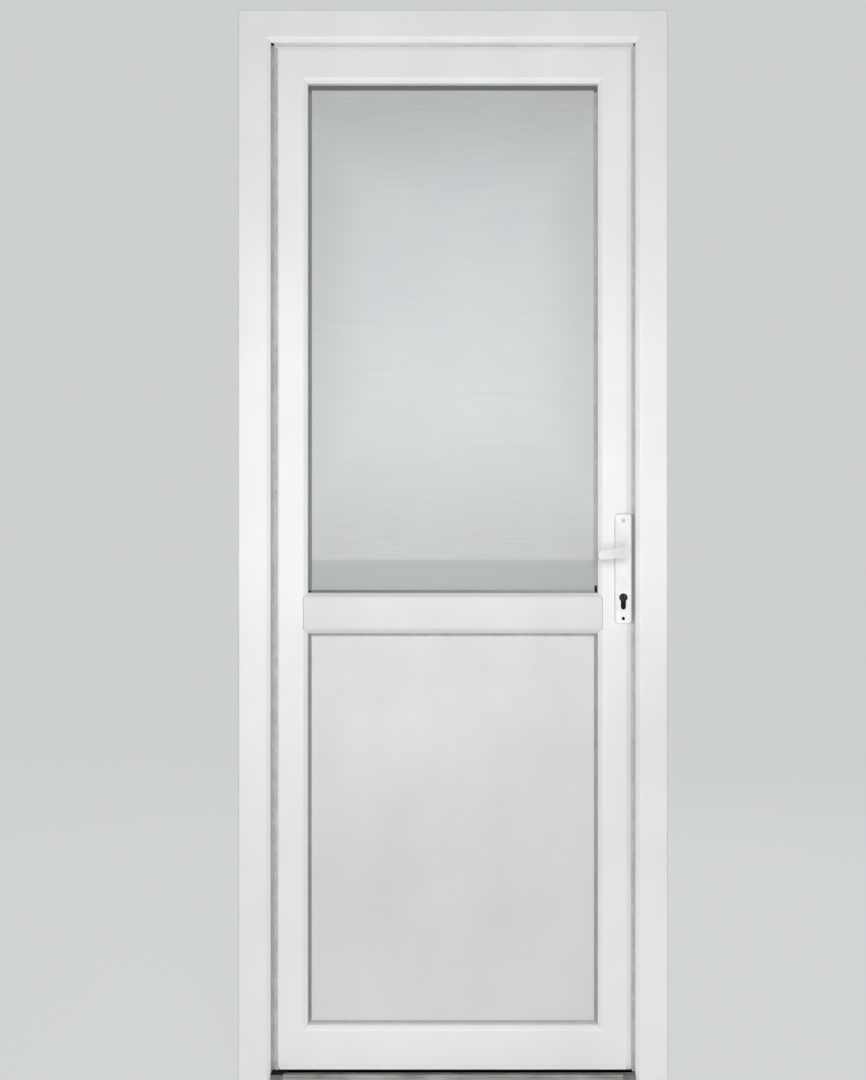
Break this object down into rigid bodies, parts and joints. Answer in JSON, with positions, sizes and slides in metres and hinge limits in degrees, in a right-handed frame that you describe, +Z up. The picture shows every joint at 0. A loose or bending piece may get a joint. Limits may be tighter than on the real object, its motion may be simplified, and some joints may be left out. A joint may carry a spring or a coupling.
{
  "type": "entrance door",
  "caption": "Half-glazed white entrance door in its own frame, with a frosted pane above a flat panel, a low metal threshold and a lever lock.",
  "frame": {"origin": "middle of the frame's underside, halfway through the frame's depth", "axes": "+X to the right seen from outside, +Y into the room, +Z up"},
  "size_m": [0.88, 0.174, 2.198],
  "materials": {
    "white_plastic": "satin",
    "grey_seal": "matt",
    "black_plastic": "matt",
    "frosted_glass": "frosted",
    "white_coated_metal": "satin",
    "zinc_steel": "zinc plated",
    "aluminium": "mill",
    "dark_brass": "darkened"
  },
  "bodies": {
    "frame": {"frame_jamb_left": "white_plastic", "frame_jamb_right": "white_plastic", "frame_head": "white_plastic", "threshold": "aluminium", "threshold_end_blocks": "black_plastic", "frame_seal": "grey_seal", "keep_centre": "zinc_steel", "keep_ends": "zinc_steel", "hinge_bottom_on_frame": "white_coated_metal", "hinge_middle_on_frame": "white_coated_metal", "hinge_top_on_frame": "white_coated_metal", "hinge_pins": "zinc_steel"},
    "leaf": {"stile_hinge_side": "white_plastic", "stile_lock_side": "white_plastic", "top_rail": "white_plastic", "bottom_rail": "white_plastic", "mid_rail": "white_plastic", "lower_panel": "white_plastic", "glass_beads_upright": "white_plastic", "glass_beads_level": "white_plastic", "panel_beads_upright": "white_plastic", "panel_beads_level": "white_plastic", "leaf_seal": "grey_seal", "glass_gasket_outer": "grey_seal", "glass_gasket_inner": "grey_seal", "panel_gasket_outer": "grey_seal", "panel_gasket_inner": "grey_seal", "bottom_brush": "black_plastic", "setting_blocks": "black_plastic", "glass_outer_pane": "frosted_glass", "glass_inner_pane": "frosted_glass", "handle_plate_outer": "white_coated_metal", "handle_plate_inner": "white_coated_metal", "hinge_bottom_on_leaf": "white_coated_metal", "hinge_middle_on_leaf": "white_coated_metal", "hinge_top_on_leaf": "white_coated_metal", "lock_case": "zinc_steel", "latch_bolt": "zinc_steel", "dead_bolt": "zinc_steel", "plate_screws": "zinc_steel", "glass_spacer": "aluminium", "lock_cylinder": "dark_brass", "cylinder_plugs": "dark_brass"},
    "handles": {"lever_outer": "white_coated_metal", "lever_inner": "white_coated_metal", "spindle": "zinc_steel"}
  },
  "joints": [
    {"name": "leaf_swing", "type": "hinge", "parent": "frame", "child": "leaf", "pos_m": [-0.408, 0.064, 0], "axis": [0, 0, 1], "range_deg": [0, 100]},
    {"name": "lever_turn", "type": "hinge", "parent": "leaf", "child": "handles", "pos_m": [0.3495, 0, 1.086], "axis": [0, -1, 0], "range_deg": [0, 40], "stiffness_Nm_per_rad": 2}
  ]
}
